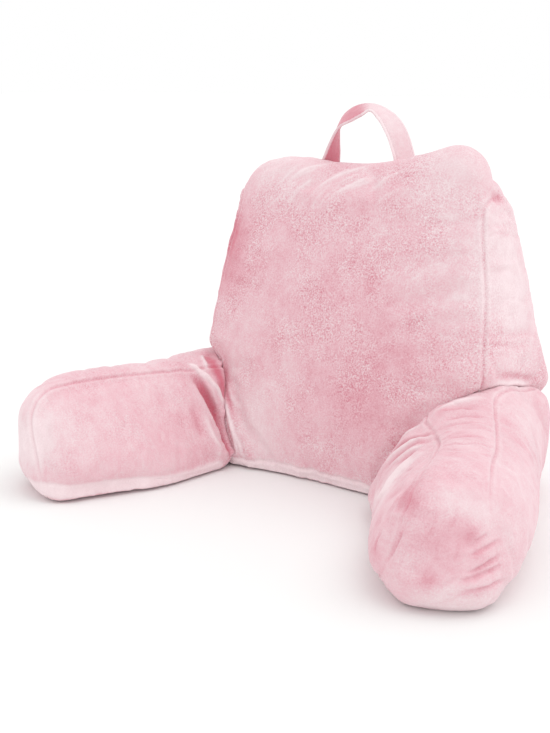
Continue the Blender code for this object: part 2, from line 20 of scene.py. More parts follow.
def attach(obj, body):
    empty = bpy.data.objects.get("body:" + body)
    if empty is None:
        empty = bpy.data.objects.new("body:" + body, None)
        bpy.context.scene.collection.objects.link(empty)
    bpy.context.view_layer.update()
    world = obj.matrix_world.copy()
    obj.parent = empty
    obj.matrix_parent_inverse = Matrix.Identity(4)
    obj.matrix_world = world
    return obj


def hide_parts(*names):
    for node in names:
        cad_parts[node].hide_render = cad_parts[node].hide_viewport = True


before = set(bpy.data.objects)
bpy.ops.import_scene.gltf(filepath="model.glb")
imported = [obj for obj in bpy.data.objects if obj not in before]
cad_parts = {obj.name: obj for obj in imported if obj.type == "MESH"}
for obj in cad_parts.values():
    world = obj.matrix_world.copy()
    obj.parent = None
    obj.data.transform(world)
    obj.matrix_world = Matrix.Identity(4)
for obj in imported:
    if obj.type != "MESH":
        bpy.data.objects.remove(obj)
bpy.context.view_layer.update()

# ---------------------------------------------------------------- sewn lines
# Closed seam lines, each joining a side panel to the strip round it.
SEAMS = {
    "gusset_left": (
        (-0.215, 0.021, 0.018), (-0.215, 0.022, 0.011), (-0.215, 0.028, 0.008),
        (-0.215, 0.245, 0.008), (-0.215, 0.254, 0.010), (-0.215, 0.263, 0.018),
        (-0.213, 0.264, 0.048), (-0.207, 0.263, 0.105), (-0.209, 0.263, 0.111),
        (-0.240, 0.261, 0.136), (-0.241, 0.261, 0.143), (-0.237, 0.259, 0.168),
        (-0.227, 0.237, 0.263), (-0.218, 0.220, 0.326), (-0.205, 0.198, 0.402),
        (-0.203, 0.193, 0.409), (-0.203, 0.185, 0.412), (-0.203, 0.125, 0.412),
        (-0.203, 0.119, 0.409), (-0.204, 0.116, 0.406), (-0.222, 0.095, 0.300),
        (-0.231, 0.080, 0.229), (-0.236, 0.072, 0.178), (-0.234, 0.071, 0.171),
        (-0.217, 0.067, 0.159), (-0.208, 0.063, 0.152), (-0.204, 0.060, 0.146),
        (-0.207, 0.050, 0.107),
    ),
    "gusset_right": (
        (0.195, 0.019, 0.018), (0.195, 0.021, 0.011), (0.195, 0.027, 0.008), (0.195, 0.244, 0.008),
        (0.195, 0.252, 0.010), (0.195, 0.260, 0.018), (0.198, 0.257, 0.054), (0.204, 0.247, 0.117),
        (0.209, 0.245, 0.124), (0.237, 0.242, 0.143), (0.242, 0.241, 0.149), (0.237, 0.228, 0.206),
        (0.228, 0.210, 0.282), (0.209, 0.176, 0.402), (0.207, 0.171, 0.409), (0.207, 0.163, 0.412),
        (0.207, 0.103, 0.412), (0.207, 0.098, 0.409), (0.208, 0.095, 0.406), (0.226, 0.073, 0.300),
        (0.239, 0.051, 0.184), (0.238, 0.053, 0.172), (0.228, 0.050, 0.162), (0.208, 0.045, 0.159),
        (0.207, 0.044, 0.152),
    ),
    "arm_left_inner": (
        (-0.159, 0.236, 0.038), (-0.158, 0.236, 0.034), (-0.156, 0.233, 0.028),
        (-0.153, 0.222, 0.024), (-0.143, 0.135, 0.020), (-0.142, 0.062, 0.014),
        (-0.146, 0.020, 0.012), (-0.160, -0.010, 0.010), (-0.171, -0.035, 0.012),
        (-0.177, -0.072, 0.017), (-0.185, -0.108, 0.021), (-0.196, -0.140, 0.024),
        (-0.209, -0.168, 0.025), (-0.223, -0.198, 0.026), (-0.240, -0.229, 0.029),
        (-0.256, -0.246, 0.029), (-0.266, -0.253, 0.031), (-0.273, -0.256, 0.037),
        (-0.277, -0.256, 0.046), (-0.282, -0.255, 0.064), (-0.288, -0.254, 0.088),
        (-0.293, -0.251, 0.107), (-0.297, -0.245, 0.124), (-0.298, -0.236, 0.138),
        (-0.297, -0.220, 0.149), (-0.289, -0.185, 0.154), (-0.277, -0.140, 0.154),
        (-0.261, -0.094, 0.152), (-0.242, -0.050, 0.150), (-0.223, -0.014, 0.149),
        (-0.214, 0.003, 0.146), (-0.205, 0.022, 0.148), (-0.197, 0.042, 0.146),
        (-0.189, 0.073, 0.143), (-0.184, 0.105, 0.139), (-0.179, 0.146, 0.132),
        (-0.177, 0.187, 0.123), (-0.176, 0.201, 0.116), (-0.175, 0.210, 0.108),
        (-0.173, 0.215, 0.101),
    ),
    "arm_left_outer": (
        (-0.263, 0.239, 0.036), (-0.262, 0.240, 0.033), (-0.264, 0.236, 0.028),
        (-0.269, 0.221, 0.024), (-0.297, 0.138, 0.024), (-0.322, 0.023, 0.024),
        (-0.359, -0.101, 0.024), (-0.373, -0.158, 0.024), (-0.375, -0.169, 0.028),
        (-0.376, -0.175, 0.032), (-0.376, -0.183, 0.043), (-0.375, -0.186, 0.051),
        (-0.368, -0.189, 0.099), (-0.366, -0.188, 0.113), (-0.363, -0.184, 0.121),
        (-0.360, -0.178, 0.130), (-0.357, -0.169, 0.137), (-0.351, -0.153, 0.142),
        (-0.332, -0.092, 0.141), (-0.305, -0.023, 0.139), (-0.298, -0.005, 0.141),
        (-0.295, 0.004, 0.140), (-0.276, 0.052, 0.151), (-0.272, 0.067, 0.152),
        (-0.270, 0.090, 0.151), (-0.268, 0.139, 0.141), (-0.269, 0.172, 0.129),
        (-0.269, 0.197, 0.117), (-0.269, 0.207, 0.108), (-0.268, 0.216, 0.095),
        (-0.266, 0.228, 0.062),
    ),
    "arm_right_inner": (
        (0.139, 0.236, 0.037), (0.138, 0.236, 0.033), (0.136, 0.233, 0.028), (0.133, 0.219, 0.024),
        (0.109, 0.037, 0.024), (0.108, 0.004, 0.024), (0.114, -0.027, 0.024),
        (0.125, -0.051, 0.024), (0.175, -0.116, 0.024), (0.248, -0.234, 0.024),
        (0.254, -0.242, 0.025), (0.262, -0.251, 0.032), (0.266, -0.255, 0.037),
        (0.271, -0.258, 0.047), (0.289, -0.258, 0.101), (0.293, -0.255, 0.115),
        (0.295, -0.251, 0.125), (0.295, -0.243, 0.135), (0.295, -0.233, 0.143),
        (0.294, -0.222, 0.148), (0.291, -0.208, 0.150), (0.274, -0.149, 0.149),
        (0.259, -0.112, 0.147), (0.244, -0.086, 0.145), (0.226, -0.060, 0.141),
        (0.214, -0.043, 0.141), (0.201, -0.027, 0.139), (0.182, -0.000, 0.138),
        (0.173, 0.021, 0.139), (0.168, 0.044, 0.137), (0.160, 0.133, 0.126), (0.157, 0.176, 0.117),
        (0.157, 0.196, 0.111), (0.156, 0.205, 0.104), (0.153, 0.215, 0.093),
    ),
    "arm_right_outer": (
        (0.243, 0.239, 0.039), (0.242, 0.240, 0.035), (0.243, 0.236, 0.029), (0.249, 0.221, 0.024),
        (0.275, 0.142, 0.024), (0.306, 0.023, 0.024), (0.351, -0.094, 0.024),
        (0.376, -0.174, 0.024), (0.379, -0.186, 0.028), (0.380, -0.192, 0.033),
        (0.381, -0.200, 0.046), (0.380, -0.201, 0.055), (0.371, -0.199, 0.105),
        (0.368, -0.196, 0.117), (0.363, -0.186, 0.132), (0.359, -0.179, 0.138),
        (0.353, -0.164, 0.144), (0.322, -0.083, 0.149), (0.274, 0.013, 0.156),
        (0.259, 0.046, 0.167), (0.254, 0.061, 0.168), (0.252, 0.076, 0.168), (0.250, 0.101, 0.165),
        (0.249, 0.136, 0.157), (0.249, 0.171, 0.145), (0.249, 0.197, 0.132), (0.248, 0.207, 0.123),
        (0.248, 0.216, 0.108), (0.246, 0.228, 0.069),
    ),
}
# The seam along the front foot of the backrest, above its narrow bottom strip.
FOOT_SEAM = (
    (-0.150, 0.021, 0.017), (-0.115, 0.024, 0.017), (-0.080, 0.026, 0.018),
    (-0.026, 0.028, 0.018), (0.033, 0.027, 0.018), (0.075, 0.024, 0.017),
    (0.110, 0.021, 0.016),
)

# Where a seam sinks out of sight in the pile.
SUNK = (
    # centre, radius, share lost
    ((0.222, -0.045, 0.146), 0.026, 0.55),
    ((0.308, -0.236, 0.146), 0.028, 0.90),
    ((0.296, -0.262, 0.104), 0.030, 0.60),
    ((0.270, -0.262, 0.040), 0.030, 0.80),
    ((0.374, -0.196, 0.095), 0.045, 0.95),
    ((0.380, -0.196, 0.030), 0.045, 0.95),
    ((0.365, -0.140, 0.024), 0.045, 0.90),
    ((-0.262, -0.250, 0.030), 0.028, 0.80),
    ((-0.223, -0.198, 0.026), 0.040, 0.95),
    ((-0.196, -0.140, 0.024), 0.045, 0.95),
    ((-0.178, -0.080, 0.018), 0.045, 0.95),
    ((-0.168, -0.015, 0.010), 0.045, 0.95),
)

# Folds and ridges, each along a line on the surface. Relief is outward; a positive rose is painted
# shade in a fold's hollow, a negative one a painted highlight on a ridge, and lean makes one side of
# the fold steeper.
FOLDS = (
    # piece, half width, relief, rose, lean, line
    # the deep fold where the left arm meets the backrest
    ("arm_left", 0.0068, -0.0085, 1.25, 0.0,
     ((-0.216, -0.004, 0.149), (-0.207, 0.001, 0.137), (-0.199, 0.006, 0.122),
      (-0.190, 0.009, 0.101), (-0.181, 0.013, 0.079), (-0.171, 0.013, 0.058),
      (-0.162, 0.012, 0.042))),
    ("arm_left", 0.0042, -0.0055, 1.00, 0.0,
     ((-0.190, 0.008, 0.100), (-0.181, 0.011, 0.079), (-0.171, 0.012, 0.058),
      (-0.160, 0.011, 0.038), (-0.152, 0.012, 0.018), (-0.147, 0.013, 0.004))),
    # thin rolls of cloth beside it
    ("arm_left", 0.0028, 0.0048, -1.20, 0.0,
     ((-0.214, 0.010, 0.148), (-0.203, 0.018, 0.138), (-0.194, 0.023, 0.126),
      (-0.185, 0.026, 0.112), (-0.177, 0.028, 0.098), (-0.170, 0.029, 0.086))),
    ("arm_left", 0.0034, 0.0030, -0.90, 0.0,
     ((-0.230, 0.006, 0.160), (-0.216, 0.010, 0.150), (-0.205, 0.013, 0.138),
      (-0.198, 0.018, 0.126))),
    ("arm_left", 0.0028, 0.0024, -0.70, 0.0,
     ((-0.232, 0.052, 0.162), (-0.222, 0.038, 0.160), (-0.210, 0.028, 0.150),
      (-0.200, 0.024, 0.138))),
    ("backrest", 0.0034, 0.0034, -0.90, 0.0,
     ((-0.186, 0.036, 0.118), (-0.176, 0.031, 0.098), (-0.164, 0.026, 0.074),
      (-0.154, 0.024, 0.054), (-0.147, 0.023, 0.034), (-0.141, 0.022, 0.010))),
    ("backrest", 0.0030, 0.0024, -0.70, 0.0,
     ((-0.169, 0.028, 0.076), (-0.156, 0.024, 0.060), (-0.144, 0.022, 0.043),
      (-0.132, 0.023, 0.013))),
    ("arm_left", 0.0046, 0.0018, -0.45, 0.0,
     ((-0.194, -0.010, 0.092), (-0.180, -0.012, 0.066), (-0.168, -0.010, 0.042),
      (-0.159, -0.004, 0.016))),
    ("arm_left", 0.0070, -0.0022, 0.40, 0.0,
     ((-0.208, -0.020, 0.104), (-0.192, -0.028, 0.070), (-0.178, -0.030, 0.036))),
    # the shaded hollow above it, next to the backrest
    ("arm_left", 0.0090, -0.0012, 1.15, 0.0,
     ((-0.244, 0.078, 0.162), (-0.224, 0.056, 0.160), (-0.210, 0.043, 0.157),
      (-0.196, 0.037, 0.139), (-0.185, 0.034, 0.120), (-0.174, 0.032, 0.100),
      (-0.165, 0.029, 0.085))),
    ("backrest", 0.0060, -0.0010, 0.80, 0.0,
     ((-0.206, 0.058, 0.165), (-0.196, 0.050, 0.150), (-0.184, 0.040, 0.126),
      (-0.171, 0.033, 0.098), (-0.159, 0.028, 0.079), (-0.150, 0.025, 0.062))),
    ("backrest", 0.0030, 0.0012, -0.40, 0.0,
     ((-0.192, 0.045, 0.142), (-0.180, 0.040, 0.122), (-0.166, 0.035, 0.104),
      (-0.154, 0.031, 0.088))),
    # long ridges slanting across the top of the front
    ("backrest", 0.0036, 0.0012, -0.40, 0.4,
     ((-0.110, 0.098, 0.424), (-0.082, 0.106, 0.444), (-0.045, 0.120, 0.460))),
    ("backrest", 0.0034, 0.0014, -0.45, 0.4,
     ((-0.060, 0.086, 0.408), (-0.032, 0.095, 0.434), (0.008, 0.107, 0.451),
      (0.031, 0.114, 0.457))),
    ("backrest", 0.0036, 0.0012, -0.40, 0.4,
     ((-0.028, 0.080, 0.404), (0.012, 0.085, 0.430), (0.048, 0.095, 0.446))),
    ("backrest", 0.0034, 0.0012, -0.35, 0.4,
     ((0.030, 0.080, 0.418), (0.060, 0.088, 0.438), (0.096, 0.099, 0.459))),
    # soft ridges beside the right seam, and the pinch at its top
    ("backrest", 0.0050, 0.0012, -0.30, 0.0,
     ((0.143, 0.076, 0.395), (0.184, 0.082, 0.395))),
    ("backrest", 0.0050, 0.0010, -0.25, 0.0,
     ((0.176, 0.053, 0.294), (0.212, 0.061, 0.295))),
    ("backrest", 0.0030, -0.0014, 0.20, 0.0,
     ((0.204, 0.096, 0.412), (0.196, 0.084, 0.392))),
    ("backrest", 0.0030, -0.0014, 0.20, 0.0,
     ((0.205, 0.098, 0.407), (0.204, 0.088, 0.388))),
    ("backrest", 0.0070, -0.0060, 0.60, 0.0,
     ((0.205, 0.112, 0.420), (0.206, 0.135, 0.418), (0.206, 0.168, 0.416))),
    # wrinkles across the right side panel
    ("backrest", 0.0050, -0.0016, 0.15, 0.0,
     ((0.216, 0.090, 0.386), (0.221, 0.120, 0.383), (0.221, 0.159, 0.379))),
    ("backrest", 0.0050, -0.0014, 0.15, 0.0,
     ((0.219, 0.090, 0.375), (0.223, 0.162, 0.368))),
    ("backrest", 0.0060, -0.0020, 0.20, 0.0,
     ((0.236, 0.062, 0.247), (0.242, 0.105, 0.240), (0.244, 0.150, 0.235),
      (0.238, 0.200, 0.236))),
    ("backrest", 0.0060, -0.0018, 0.15, 0.0,
     ((0.239, 0.062, 0.233), (0.246, 0.145, 0.220), (0.242, 0.190, 0.216))),
    ("backrest", 0.0050, -0.0012, 0.10, 0.0,
     ((0.226, 0.075, 0.330), (0.230, 0.110, 0.326), (0.231, 0.150, 0.327))),
    ("backrest", 0.0045, -0.0028, 0.42, 0.0,
     ((0.246, 0.060, 0.194), (0.249, 0.100, 0.187), (0.249, 0.135, 0.178),
      (0.249, 0.175, 0.167), (0.248, 0.220, 0.156))),
    ("backrest", 0.0044, 0.0030, -0.70, 0.0,
     ((0.238, 0.050, 0.182), (0.245, 0.085, 0.178), (0.247, 0.120, 0.171),
      (0.246, 0.160, 0.161), (0.243, 0.200, 0.150))),
    # pleats where the right arm leaves the backrest
    ("backrest", 0.0042, -0.0016, 0.42, 0.0,
     ((0.109, 0.020, 0.060), (0.122, 0.019, 0.080), (0.136, 0.020, 0.098),
      (0.155, 0.023, 0.125))),
    ("arm_right", 0.0036, 0.0030, -0.55, 0.3,
     ((0.128, 0.002, 0.088), (0.146, -0.002, 0.108), (0.164, -0.006, 0.124),
      (0.184, -0.006, 0.140))),
    ("arm_right", 0.0046, -0.0050, 0.95, 0.3,
     ((0.122, -0.016, 0.066), (0.134, -0.021, 0.082), (0.150, -0.026, 0.100), (0.172, -0.036, 0.117),
      (0.198, -0.044, 0.133), (0.224, -0.050, 0.146))),
    ("arm_right", 0.0034, 0.0030, -0.60, 0.3,
     ((0.134, -0.034, 0.066), (0.147, -0.040, 0.084), (0.166, -0.046, 0.104), (0.188, -0.052, 0.122),
      (0.214, -0.057, 0.138), (0.236, -0.060, 0.149))),
    ("arm_right", 0.0034, -0.0030, 0.60, 0.0,
     ((0.146, -0.048, 0.070), (0.162, -0.054, 0.092), (0.180, -0.058, 0.110), (0.202, -0.062, 0.126),
      (0.230, -0.068, 0.144))),
    ("arm_right", 0.0030, 0.0018, -0.45, 0.0,
     ((0.156, -0.062, 0.070), (0.172, -0.066, 0.094), (0.192, -0.070, 0.113), (0.214, -0.076, 0.131),
      (0.240, -0.084, 0.147))),
    ("arm_right", 0.0030, -0.0018, 0.45, 0.0,
     ((0.178, -0.074, 0.092), (0.196, -0.080, 0.112), (0.222, -0.088, 0.132))),
    ("arm_right", 0.0120, 0.0022, -0.90, 0.0,
     ((0.160, -0.092, 0.052), (0.180, -0.100, 0.080), (0.200, -0.102, 0.104),
      (0.226, -0.110, 0.128))),
    # creases across the right arm's top
    ("arm_right", 0.0050, 0.0024, -0.60, 0.0,
     ((0.180, 0.006, 0.146), (0.203, 0.014, 0.158), (0.226, 0.022, 0.166),
      (0.254, 0.034, 0.170))),
    ("arm_right", 0.0060, -0.0022, 0.40, 0.0,
     ((0.198, -0.010, 0.150), (0.226, 0.002, 0.160), (0.256, 0.012, 0.165))),
    ("arm_right", 0.0026, -0.0012, 0.26, 0.0,
     ((0.215, -0.032, 0.148), (0.236, -0.025, 0.155), (0.261, -0.020, 0.161),
      (0.282, -0.007, 0.158))),
    ("arm_right", 0.0024, -0.0012, 0.24, 0.0,
     ((0.226, -0.053, 0.146), (0.250, -0.052, 0.156), (0.276, -0.042, 0.161),
      (0.290, -0.016, 0.152))),
    ("arm_right", 0.0022, -0.0012, 0.28, 0.0,
     ((0.238, -0.073, 0.145), (0.265, -0.073, 0.158), (0.289, -0.062, 0.161),
      (0.301, -0.037, 0.150))),
    ("arm_right", 0.0026, -0.0011, 0.22, 0.0,
     ((0.252, -0.099, 0.146), (0.282, -0.102, 0.160), (0.304, -0.088, 0.160),
      (0.315, -0.064, 0.149))),
    ("arm_right", 0.0022, -0.0011, 0.22, 0.0,
     ((0.267, -0.130, 0.150), (0.297, -0.127, 0.160), (0.317, -0.110, 0.159),
      (0.325, -0.088, 0.148))),
    ("arm_right", 0.0028, -0.0010, 0.18, 0.0,
     ((0.296, -0.180, 0.159), (0.312, -0.150, 0.160), (0.330, -0.134, 0.156),
      (0.336, -0.114, 0.146))),
    # the hollow at the front of its inner side
    ("arm_right", 0.0090, -0.0022, 0.30, 0.0,
     ((0.232, -0.190, 0.090), (0.252, -0.200, 0.110), (0.276, -0.220, 0.128),
      (0.300, -0.240, 0.136))),
    ("arm_right", 0.0040, 0.0014, -0.20, 0.0,
     ((0.262, -0.242, 0.104), (0.282, -0.250, 0.109), (0.304, -0.257, 0.113))),
    # creases round the right arm's front end
    ("arm_right", 0.0026, -0.0026, 0.50, 0.4,
     ((0.297, -0.262, 0.104), (0.291, -0.263, 0.090), (0.283, -0.264, 0.072),
      (0.274, -0.264, 0.054))),
    ("arm_right", 0.0028, -0.0014, 0.30, 0.0,
     ((0.262, -0.250, 0.088), (0.254, -0.246, 0.070), (0.258, -0.250, 0.052))),
    ("arm_right", 0.0028, -0.0030, 0.42, 0.3,
     ((0.356, -0.238, 0.052), (0.370, -0.222, 0.060), (0.382, -0.192, 0.068))),
    ("arm_right", 0.0028, -0.0030, 0.42, 0.3,
     ((0.350, -0.244, 0.044), (0.370, -0.225, 0.051), (0.383, -0.192, 0.057))),
    ("arm_right", 0.0026, -0.0024, 0.34, 0.3,
     ((0.356, -0.236, 0.070), (0.370, -0.217, 0.078), (0.381, -0.188, 0.084))),
    ("arm_right", 0.0028, -0.0028, 0.38, 0.3,
     ((0.352, -0.244, 0.034), (0.372, -0.223, 0.038), (0.384, -0.186, 0.041))),
    ("arm_right", 0.0026, -0.0022, 0.30, 0.3,
     ((0.362, -0.226, 0.088), (0.373, -0.206, 0.094))),
)

# Fine strokes in the pile and small creases, scattered over a patch of one piece. Their rose is the
# pile's streaky tone, with painted shade along the creases and a painted highlight on some raised
# strokes.
STROKES = (
    # piece, count, corner of the patch, its two sides, run of a stroke, half width,
    # relief, rose
    ("backrest", 26, (-0.150, 0.090, 0.395), (0.270, -0.010, 0.010), (0.020, 0.016, 0.052),
     (0.034, 0.008, 0.028), 0.0022, 0.0006, -0.22),
    ("backrest", 34, (-0.190, 0.050, 0.215), (0.370, -0.020, 0.000), (0.010, 0.045, 0.180),
     (0.026, 0.003, 0.020), 0.0020, 0.0003, -0.12),
    ("backrest", 22, (-0.150, 0.026, 0.050), (0.260, -0.004, 0.000), (-0.020, 0.016, 0.150),
     (-0.020, 0.003, 0.022), 0.0022, 0.0003, 0.12),
    ("backrest", 20, (0.244, 0.075, 0.195), (0.000, 0.110, 0.000), (-0.030, 0.020, 0.190),
     (0.000, 0.044, -0.002), 0.0022, -0.0007, 0.12),
    ("backrest", 12, (0.140, 0.055, 0.230), (0.055, 0.004, 0.000), (-0.020, 0.040, 0.150),
     (0.030, 0.000, 0.001), 0.0022, 0.0006, -0.12),
    ("arm_left", 34, (-0.176, -0.050, 0.035), (-0.096, -0.190, 0.000), (-0.010, 0.010, 0.080),
     (0.000, 0.000, 0.030), 0.0018, 0.0003, 0.13),
    ("arm_left", 18, (-0.220, -0.030, 0.150), (-0.060, -0.160, 0.000), (-0.060, 0.010, 0.004),
     (-0.020, 0.006, 0.002), 0.0020, -0.0004, 0.12),
    ("arm_right", 18, (0.222, -0.050, 0.152), (0.070, -0.110, 0.000), (0.030, 0.020, 0.004),
     (0.052, 0.018, 0.002), 0.0017, -0.0007, 0.12),
    ("arm_right", 18, (0.170, -0.050, 0.080), (0.080, -0.120, 0.020), (0.036, -0.020, 0.050),
     (0.026, -0.016, 0.030), 0.0018, -0.0008, 0.14),
    ("arm_right", 14, (0.340, -0.240, 0.020), (0.030, 0.045, 0.000), (-0.010, -0.006, 0.070),
     (0.022, 0.030, 0.010), 0.0020, -0.0007, 0.10),
    ("arm_right", 22, (0.285, -0.266, 0.040), (0.070, 0.020, 0.000), (0.000, 0.010, 0.100),
     (0.006, 0.004, 0.026), 0.0018, 0.0003, 0.10),
    ("arm_right", 20, (0.372, -0.160, 0.040), (-0.060, 0.150, 0.010), (-0.012, 0.004, 0.090),
     (0.010, -0.012, 0.030), 0.0020, 0.0003, 0.08),
)

# Patches of rose and pale: partly the crushed pile's own uneven tone, partly painted shade on sides
# turned from the light and a painted highlight on the lit top and right side.
MOTTLE_AND_PAINTED_LIGHT = (
    # centre, radius, rose
    ((-0.212, 0.106, 0.352), 0.030, 0.95),
    ((-0.212, 0.094, 0.312), 0.034, 0.85),
    ((-0.200, 0.078, 0.270), 0.036, 0.50),
    ((-0.150, 0.070, 0.290), 0.050, 0.25),
    ((-0.168, 0.101, 0.387), 0.030, 0.15),
    ((-0.003, 0.052, 0.305), 0.070, 0.12),
    ((0.041, 0.036, 0.234), 0.070, 0.18),
    ((0.080, 0.027, 0.171), 0.050, 0.26),
    ((0.054, 0.022, 0.140), 0.040, 0.20),
    ((0.036, 0.022, 0.107), 0.050, 0.16),
    ((0.100, 0.022, 0.118), 0.030, 0.30),
    ((0.114, 0.034, 0.217), 0.040, 0.20),
    ((-0.033, 0.024, 0.094), 0.050, 0.10),
    ((0.112, 0.081, 0.421), 0.035, 0.12),
    ((0.128, 0.068, 0.374), 0.030, 0.12),
    ((-0.186, 0.053, 0.160), 0.035, -0.20),
    ((-0.150, 0.037, 0.110), 0.040, -0.30),
    ((-0.100, 0.026, 0.085), 0.045, -0.40),
    ((-0.105, 0.026, 0.045), 0.035, -0.30),
    ((-0.130, 0.125, 0.452), 0.060, -0.35),
    ((0.160, 0.090, 0.455), 0.060, -0.45),
    ((0.185, 0.070, 0.345), 0.050, 0.10),
    ((0.200, 0.050, 0.235), 0.050, 0.10),
    ((0.200, 0.033, 0.180), 0.040, -0.20),
    ((0.235, 0.120, 0.330), 0.090, -0.75),
    ((0.245, 0.150, 0.220), 0.080, -0.35),
    ((-0.255, -0.220, 0.110), 0.070, -0.20),
    ((-0.289, -0.259, 0.091), 0.050, -0.60),
    ((-0.330, -0.245, 0.070), 0.040, -0.50),
    ((-0.215, -0.100, 0.060), 0.060, -0.20),
    ((-0.192, -0.055, 0.070), 0.035, 0.15),
    ((-0.236, -0.012, 0.158), 0.022, 0.35),
    ((-0.255, -0.035, 0.160), 0.060, -0.35),
    ((0.252, 0.002, 0.164), 0.034, 0.10),
    ((0.288, -0.240, 0.130), 0.020, 0.80),
    ((0.300, -0.250, 0.124), 0.014, 0.60),
    ((0.360, -0.228, 0.097), 0.014, 0.70),
    ((0.336, -0.251, 0.083), 0.028, 0.45),
    ((0.329, -0.259, 0.045), 0.011, 0.70),
    ((0.240, -0.225, 0.086), 0.018, 0.55),
    ((0.250, -0.243, 0.060), 0.016, 0.50),
    ((0.334, -0.239, 0.134), 0.016, -0.25),
    ((0.352, -0.226, 0.128), 0.016, -0.30),
    ((0.366, -0.206, 0.119), 0.018, -0.25),
    ((0.158, -0.088, 0.049), 0.018, -0.60),
    ((0.187, -0.105, 0.080), 0.022, -0.80),
    ((0.202, -0.103, 0.103), 0.018, -0.65),
    ((0.227, -0.117, 0.122), 0.020, -0.70),
    ((0.210, -0.150, 0.080), 0.026, -0.60),
    ((0.353, -0.085, 0.128), 0.070, -0.20),
    ((0.300, 0.080, 0.125), 0.060, -0.25),
    ((0.382, -0.170, 0.060), 0.050, -0.15),
    ((0.340, -0.240, 0.010), 0.040, -0.55),
    ((0.370, -0.200, 0.020), 0.040, -0.35),
)

# Strips of cloth along the floor, let down to it from the rounded edge above, made pale by a painted
# highlight.
STRIPS = (
    # piece, half width, spread at the floor, its height, power and reach, direction, rose,
    # line
    ("backrest", 0.0095, 0.0170, 0.011, 2.6, 0.055, (0.0, -1.0), -0.80,
     ((-0.160, 0.026, 0.009), (-0.080, 0.030, 0.009), (0.000, 0.032, 0.009),
      (0.110, 0.026, 0.009))),
    ("arm_left", 0.0110, 0.0215, 0.024, 1.5, 0.030, (0.85, -0.53), -0.55,
     ((-0.300, -0.256, 0.018), (-0.262, -0.262, 0.012), (-0.215, -0.196, 0.009),
      (-0.185, -0.125, 0.008), (-0.160, -0.010, 0.004))),
)

# Where a cover stands a little fuller, or flatter, than its solid.
SWELLS = (
    # piece, centre, radius, shift
    ("arm_right", (0.372, -0.196, 0.015), 0.055, (0.0085, -0.0060, 0.0)),
    ("arm_right", (0.256, 0.190, 0.128), 0.036, (0.0090, 0.0050, 0.0110)),
    ("arm_right", (0.264, 0.190, 0.085), 0.045, (0.0060, 0.0030, 0.0)),
    ("arm_right", (0.245, 0.110, 0.165), 0.030, (0.0, 0.0, 0.0060)),
    ("arm_right", (0.140, -0.065, 0.050), 0.028, (0.0060, 0.0045, 0.0)),
    ("arm_right", (0.232, -0.226, 0.050), 0.028, (-0.0012, -0.0009, 0.0)),
    ("arm_right", (0.263, -0.245, 0.010), 0.022, (0.0035, 0.0025, 0.0)),
    ("arm_left", (-0.190, -0.100, 0.010), 0.060, (0.0100, -0.0050, 0.0)),
    ("arm_left", (-0.232, 0.050, 0.160), 0.035, (0.0, 0.0, -0.0050)),
    ("arm_left", (-0.335, -0.195, 0.152), 0.035, (0.0030, 0.0020, -0.0050)),
    ("arm_left", (-0.325, -0.238, 0.012), 0.034, (0.0060, 0.0040, 0.0)),
    ("arm_left", (-0.195, 0.038, 0.125), 0.026, (0.0060, -0.0020, 0.0)),
    ("backrest", (-0.135, 0.030, 0.000), 0.035, (0.0, -0.0050, 0.0)),
    ("backrest", (-0.095, 0.120, 0.455), 0.055, (-0.0010, 0.0, 0.0020)),
    ("backrest", (0.090, 0.140, 0.464), 0.034, (0.0, 0.0, 0.0060)),
    ("backrest", (0.160, 0.125, 0.472), 0.045, (0.0, 0.0, 0.0060)),
    ("backrest", (-0.170, 0.110, 0.440), 0.045, (0.0, 0.0, 0.0030)),
    ("backrest", (0.245, 0.235, 0.170), 0.050, (0.0040, 0.0020, 0.0)),
    ("backrest", (0.229, 0.243, 0.138), 0.028, (0.0080, 0.0040, -0.0060)),
)

# Strap: a folded band, by place along it.
STRAP_ROWS = (
    # place; near edge: across, height; far edge: across, height
    (0.00, -0.084, 0.438, -0.066, 0.436),
    (0.15, -0.070, 0.466, -0.066, 0.466),
    (0.30, -0.058, 0.488, -0.068, 0.490),
    (0.40, -0.046, 0.503, -0.066, 0.508),
    (0.50, -0.028, 0.511, -0.054, 0.524),
    (0.60, -0.009, 0.520, -0.032, 0.534),
    (0.68, 0.005, 0.527, -0.009, 0.535),
    (0.76, 0.017, 0.516, 0.016, 0.527),
    (0.84, 0.027, 0.502, 0.035, 0.514),
    (0.92, 0.038, 0.480, 0.051, 0.489),
    (1.00, 0.052, 0.440, 0.067, 0.440),
)
STRAP_NEAR, STRAP_FAR = 0.1395, 0.1745      # the strap's edges, front to rear
STRAP_THICK = 0.0034
STRAP_STEPS = 150
STRAP_COLUMNS = 26
STITCH_INSET = 0.0045       # the strap's stitched lines, in from its edges
STRAP_BURY = 0.0003         # its ends stop this far above the backrest's cover

# Cushions: voxel size, how far each is drawn in before filling, and the filling's slack.
CUSHIONS = (
    # node, piece, voxel, drawn in, slack, seams
    ("backrest", "backrest_cover", 0.0072, 0.0055, 0.030, ("gusset_left", "gusset_right")),
    ("arm_left", "arm_left_cover", 0.0056, 0.0045, 0.030,
     ("arm_left_inner", "arm_left_outer")),
    ("arm_right", "arm_right_cover", 0.0056, 0.0045, 0.035,
     ("arm_right_inner", "arm_right_outer")),
)
SEAM_DEPTH = 0.0023         # seam groove
SEAM_WIDTH = 0.0022
SEAM_RIDGE = 0.0007         # and the ridge each side of it
RIDGE_PLACE = 0.0052
RIDGE_WIDTH = 0.0024
FINE_REACH = 0.010          # the mesh is refined this close to a seam or a sharp fold
CLEAR = 0.0003              # between neighbouring covers
WRINKLE_ROUNDS = 14         # what this much smoothing takes out of the filling's movement
WRINKLE_GAIN = 1.2          # is the wrinkles, and they are kept at this strength
FIT_REACH = 0.0060          # an arm's cover lies down on the backrest within this distance
